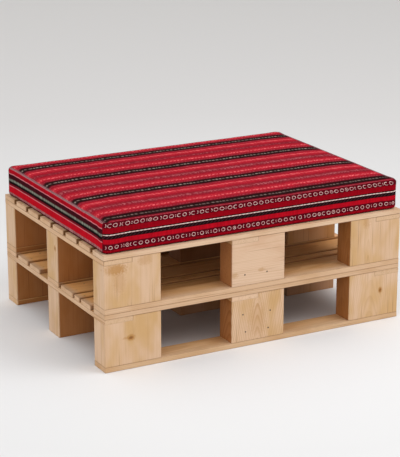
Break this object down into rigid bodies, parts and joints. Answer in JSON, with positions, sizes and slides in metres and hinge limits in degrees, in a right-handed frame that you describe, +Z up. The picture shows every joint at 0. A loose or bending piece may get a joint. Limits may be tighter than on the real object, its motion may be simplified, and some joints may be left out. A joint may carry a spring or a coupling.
{
  "type": "pallet ottoman",
  "caption": "Low timber ottoman built as stacked block pallets, with open storage tunnels and a loose box cushion in a zipped striped woven cover.",
  "frame": {"origin": "on the floor, under the middle of the pallets", "axes": "+X along the length, +Y from the front to the back, +Z up"},
  "size_m": [1.1, 0.8, 0.49],
  "materials": {
    "pallet_wood": "planed pine boards, bare, slightly worn",
    "block_wood": "sawn pine blocks, bare",
    "nail_steel": "dull driven heads",
    "striped_cloth": "woven wool stripes",
    "foam": "open-cell foam",
    "zip_tape": "woven tape with a moulded coil",
    "zip_metal": "dull cast metal"
  },
  "bodies": {
    "pallets": {"lower_bottom_board_front": "pallet_wood", "lower_bottom_board_back": "pallet_wood", "upper_bottom_board_front": "pallet_wood", "upper_bottom_board_back": "pallet_wood", "lower_block_front_left": "block_wood", "lower_block_front_middle": "block_wood", "lower_block_front_right": "block_wood", "lower_block_middle_left": "block_wood", "lower_block_middle_middle": "block_wood", "lower_block_middle_right": "block_wood", "lower_block_back_left": "block_wood", "lower_block_back_middle": "block_wood", "lower_block_back_right": "block_wood", "upper_block_front_left": "block_wood", "upper_block_front_middle": "block_wood", "upper_block_front_right": "block_wood", "upper_block_middle_left": "block_wood", "upper_block_middle_middle": "block_wood", "upper_block_middle_right": "block_wood", "upper_block_back_left": "block_wood", "upper_block_back_middle": "block_wood", "upper_block_back_right": "block_wood", "lower_stringer_left": "pallet_wood", "lower_stringer_middle": "pallet_wood", "lower_stringer_right": "pallet_wood", "upper_stringer_left": "pallet_wood", "upper_stringer_middle": "pallet_wood", "upper_stringer_right": "pallet_wood", "lower_slat_1": "pallet_wood", "lower_slat_2": "pallet_wood", "lower_slat_3": "pallet_wood", "lower_slat_4": "pallet_wood", "lower_slat_5": "pallet_wood", "lower_slat_6": "pallet_wood", "lower_slat_7": "pallet_wood", "lower_slat_8": "pallet_wood", "upper_slat_1": "pallet_wood", "upper_slat_2": "pallet_wood", "upper_slat_3": "pallet_wood", "upper_slat_4": "pallet_wood", "upper_slat_5": "pallet_wood", "upper_slat_6": "pallet_wood", "upper_slat_7": "pallet_wood", "upper_slat_8": "pallet_wood", "lower_deck_nails": "nail_steel", "upper_deck_nails": "nail_steel", "lower_bottom_nails": "nail_steel", "upper_bottom_nails": "nail_steel", "block_face_nails": "nail_steel", "tier_screws": "nail_steel"},
    "cushion": {"cover_top_panel": "striped_cloth", "cover_border": "striped_cloth", "cover_bottom_panel": "striped_cloth", "foam_core": "foam", "zip_chain": "zip_tape"},
    "slider": {"zip_slider": "zip_metal"},
    "pull": {"zip_pull": "zip_metal"}
  },
  "joints": [
    {"name": "cushion_lift", "type": "slide", "parent": "pallets", "child": "cushion", "axis": [0, 0, 1], "range_m": [0, 0.3]},
    {"name": "zip_slide", "type": "slide", "parent": "cushion", "child": "slider", "axis": [-1, 0, 0], "range_m": [0, 0.736]},
    {"name": "pull_flip", "type": "hinge", "parent": "slider", "child": "pull", "pos_m": [0.3682, 0.3952, 0.4345], "axis": [0, 0, -1], "range_deg": [0, 170]}
  ]
}
